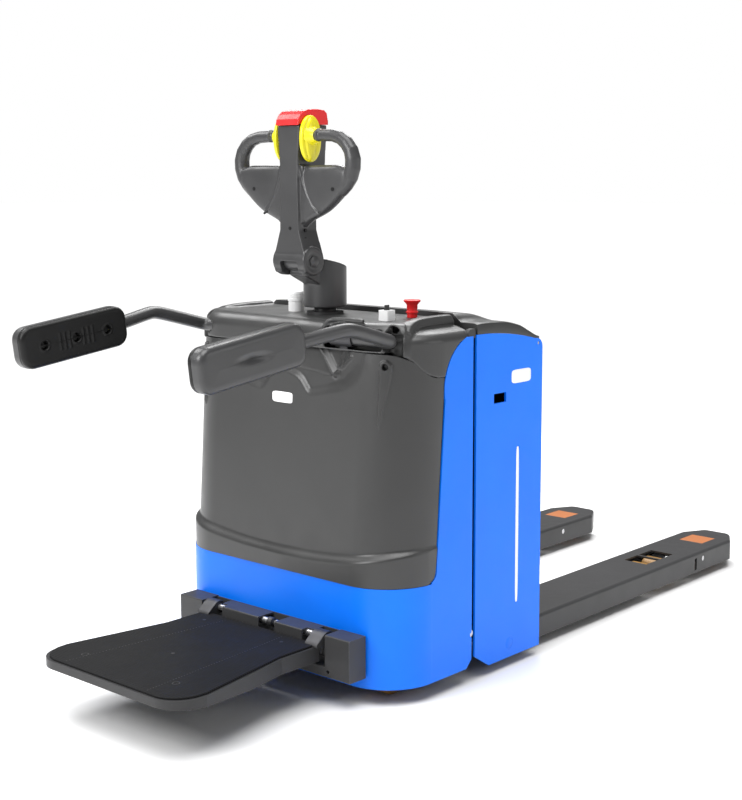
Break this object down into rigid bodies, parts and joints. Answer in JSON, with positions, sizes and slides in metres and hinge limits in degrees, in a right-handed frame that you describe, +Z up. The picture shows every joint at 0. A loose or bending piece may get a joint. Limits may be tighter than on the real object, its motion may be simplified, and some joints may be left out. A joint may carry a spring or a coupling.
{
  "type": "electric pallet truck",
  "caption": "Stand-on electric pallet truck with lifting forks, fold-up platform, fold-down side arms and a tiller on a steered drive unit.",
  "frame": {"origin": "middle of the truck's footprint at floor level, 31 mm ahead of the load face of the fork carriage", "axes": "+X towards the fork tips, +Y to the left fork, +Z up"},
  "size_m": [2.238, 0.752, 1.371],
  "materials": {
    "blue_paint": "gloss",
    "dark_steel": "satin",
    "grey_plastic": "satin",
    "fork_paint": "satin",
    "bracket_steel": "satin",
    "bright_steel": "satin",
    "lift_cylinder_paint": "gloss",
    "bronze": "satin",
    "nylon": "matte",
    "cast_housing": "matte",
    "arm_paint": "satin",
    "post_paint": "satin",
    "polyurethane_tyre": "satin",
    "black_pad": "satin",
    "rubber_mat": "matte",
    "orange_pad": "satin",
    "yellow_plastic": "gloss",
    "red_plastic": "gloss",
    "black_plastic": "matte",
    "key_metal": "polished",
    "white_plastic": "satin",
    "controller_alloy": "matte",
    "battery_plastic": "matte"
  },
  "bodies": {
    "chassis": {"front_apron": "blue_paint", "side_panels": "blue_paint", "drive_deck": "dark_steel", "bulkhead": "dark_steel", "guide_rails": "dark_steel", "lift_cylinders": "lift_cylinder_paint", "front_hood": "grey_plastic", "top_cover": "grey_plastic", "arm_sockets": "nylon", "slewing_ring": "bright_steel", "post_bush": "bronze", "hydraulic_unit": "lift_cylinder_paint", "motor_controller": "controller_alloy", "key_housing": "white_plastic", "status_lamp": "white_plastic", "platform_bracket": "bracket_steel", "platform_rod": "bright_steel"},
    "steering": {"drive_gearbox": "cast_housing", "traction_motor": "cast_housing", "steering_post": "post_paint"},
    "drive_wheel": {"drive_hub": "cast_housing", "drive_tyre": "polyurethane_tyre"},
    "caster_left": {"caster_fork_left": "dark_steel"},
    "caster_right": {"caster_fork_right": "dark_steel"},
    "caster_wheel_l": {"caster_wheel_left": "polyurethane_tyre"},
    "caster_wheel_r": {"caster_wheel_right": "polyurethane_tyre"},
    "tiller": {"tiller_arm": "post_paint", "tiller_pin": "bright_steel"},
    "throttle": {"throttle_wings": "yellow_plastic"},
    "belly_switch": {"belly_button": "red_plastic"},
    "lift_switch": {"lift_rocker": "black_plastic"},
    "horn_switch": {"horn_button": "black_plastic"},
    "ignition_key": {"key": "key_metal"},
    "emergency_stop": {"stop_knob": "red_plastic"},
    "platform": {"platform_deck": "bracket_steel", "platform_mat": "rubber_mat"},
    "side_arm_left": {"side_arm_tube_left": "arm_paint", "side_arm_pad_left": "black_pad"},
    "side_arm_right": {"side_arm_tube_right": "arm_paint", "side_arm_pad_right": "black_pad"},
    "carriage": {"carriage_sides": "blue_paint", "battery_tray": "dark_steel", "battery": "battery_plastic", "guide_shoes": "nylon", "piston_rods": "bright_steel", "fork_left": "fork_paint", "fork_right": "fork_paint", "entry_pads": "orange_pad", "arm_shafts": "bright_steel", "rocker_bushes": "bronze", "cover_pins": "bright_steel"},
    "cover": {"battery_cover": "grey_plastic"},
    "rocker": {"rocker_shaft": "dark_steel"},
    "rods": {"push_rods": "dark_steel"},
    "arms": {"load_arms": "dark_steel"},
    "bogie_pair": {"bogies": "dark_steel"},
    "roller_front_left": {"load_roller_front_left": "polyurethane_tyre"},
    "roller_front_right": {"load_roller_front_right": "polyurethane_tyre"},
    "roller_rear_left": {"load_roller_rear_left": "polyurethane_tyre"},
    "roller_rear_right": {"load_roller_rear_right": "polyurethane_tyre"}
  },
  "joints": [
    {"name": "steer", "type": "hinge", "parent": "chassis", "child": "steering", "pos_m": [-0.418, 0, 0.27], "axis": [0, 0, 1], "range_deg": [-90, 90]},
    {"name": "drive_spin", "type": "hinge", "parent": "steering", "child": "drive_wheel", "pos_m": [-0.418, 0, 0.115], "axis": [0, 1, 0], "continuous": true},
    {"name": "caster_swivel_left", "type": "hinge", "parent": "chassis", "child": "caster_left", "pos_m": [-0.451, 0.262, 0.15], "axis": [0, 0, 1], "continuous": true},
    {"name": "caster_spin_left", "type": "hinge", "parent": "caster_left", "child": "caster_wheel_l", "pos_m": [-0.484, 0.262, 0.0625], "axis": [0, 1, 0], "continuous": true},
    {"name": "caster_swivel_right", "type": "hinge", "parent": "chassis", "child": "caster_right", "pos_m": [-0.451, -0.262, 0.15], "axis": [0, 0, 1], "continuous": true},
    {"name": "caster_spin_right", "type": "hinge", "parent": "caster_right", "child": "caster_wheel_r", "pos_m": [-0.484, -0.262, 0.0625], "axis": [0, 1, 0], "continuous": true},
    {"name": "tiller_tilt", "type": "hinge", "parent": "steering", "child": "tiller", "pos_m": [-0.509, 0, 1.012], "axis": [0, -1, 0], "range_deg": [0, 80], "stiffness_Nm_per_rad": 20, "springref_deg": -45.84},
    {"name": "throttle_turn", "type": "hinge", "parent": "tiller", "child": "throttle", "pos_m": [-0.507, 0, 1.306], "axis": [0, 1, 0], "range_deg": [-35, 35], "stiffness_Nm_per_rad": 1.5},
    {"name": "belly_press", "type": "slide", "parent": "tiller", "child": "belly_switch", "axis": [0, 0, -1], "range_m": [0, 0.008], "stiffness_N_per_m": 900, "springref_m": -0.004},
    {"name": "lift_rock", "type": "hinge", "parent": "tiller", "child": "lift_switch", "pos_m": [-0.487, 0, 1.152], "axis": [0, 1, 0], "range_deg": [-8, 8], "stiffness_Nm_per_rad": 0.5},
    {"name": "horn_press", "type": "slide", "parent": "tiller", "child": "horn_switch", "axis": [-1, 0, 0], "range_m": [0, 0.003], "stiffness_N_per_m": 500, "springref_m": -0.002},
    {"name": "key_turn", "type": "hinge", "parent": "chassis", "child": "ignition_key", "pos_m": [-0.456, -0.235, 0.89], "axis": [0, 0, 1], "range_deg": [0, 90]},
    {"name": "stop_press", "type": "slide", "parent": "chassis", "child": "emergency_stop", "axis": [0, 0, -1], "range_m": [0, 0.006], "stiffness_N_per_m": 900, "springref_m": -0.004},
    {"name": "platform_fold", "type": "hinge", "parent": "chassis", "child": "platform", "pos_m": [-0.629, 0, 0.155], "axis": [0, 1, 0], "range_deg": [0, 86]},
    {"name": "side_arm_fold_left", "type": "hinge", "parent": "chassis", "child": "side_arm_left", "pos_m": [-0.525, 0.16, 0.84], "axis": [0, -1, 0], "range_deg": [0, 55]},
    {"name": "side_arm_fold_right", "type": "hinge", "parent": "chassis", "child": "side_arm_right", "pos_m": [-0.525, -0.16, 0.84], "axis": [0, -1, 0], "range_deg": [0, 55]},
    {"name": "fork_lift", "type": "slide", "parent": "chassis", "child": "carriage", "axis": [0, 0, 1], "range_m": [0, 0.12]},
    {"name": "battery_cover_open", "type": "hinge", "parent": "carriage", "child": "cover", "pos_m": [-0.048, 0, 0.803], "axis": [0, 1, 0], "range_deg": [0, 100]},
    {"name": "rocker_turn", "type": "hinge", "parent": "carriage", "child": "rocker", "pos_m": [-0.158, 0, 0.062], "axis": [0, -1, 0], "range_deg": [0, 47.59]},
    {"name": "push_rod_slide", "type": "slide", "parent": "carriage", "child": "rods", "axis": [1, 0, 0], "range_m": [0, 0.02194]},
    {"name": "load_arm_swing", "type": "hinge", "parent": "carriage", "child": "arms", "pos_m": [0.874, 0, 0.062], "axis": [0, -1, 0], "range_deg": [0, 47.59]},
    {"name": "bogie_level", "type": "hinge", "parent": "arms", "child": "bogie_pair", "pos_m": [0.699, 0, 0.038], "axis": [0, -1, 0], "range_deg": [-47.59, 0]},
    {"name": "roller_spin_front_left", "type": "hinge", "parent": "bogie_pair", "child": "roller_front_left", "pos_m": [0.739, 0.2565, 0.038], "axis": [0, 1, 0], "continuous": true},
    {"name": "roller_spin_front_right", "type": "hinge", "parent": "bogie_pair", "child": "roller_front_right", "pos_m": [0.739, -0.2565, 0.038], "axis": [0, 1, 0], "continuous": true},
    {"name": "roller_spin_rear_left", "type": "hinge", "parent": "bogie_pair", "child": "roller_rear_left", "pos_m": [0.659, 0.2565, 0.038], "axis": [0, 1, 0], "continuous": true},
    {"name": "roller_spin_rear_right", "type": "hinge", "parent": "bogie_pair", "child": "roller_rear_right", "pos_m": [0.659, -0.2565, 0.038], "axis": [0, 1, 0], "continuous": true}
  ],
  "couplings": [
    {"joint": "rocker_turn", "follows": "fork_lift", "rad_per_m": 6.907},
    {"joint": "push_rod_slide", "follows": "fork_lift", "ratio": 0.1812},
    {"joint": "load_arm_swing", "follows": "fork_lift", "rad_per_m": 6.907},
    {"joint": "bogie_level", "follows": "fork_lift", "rad_per_m": -6.907}
  ]
}
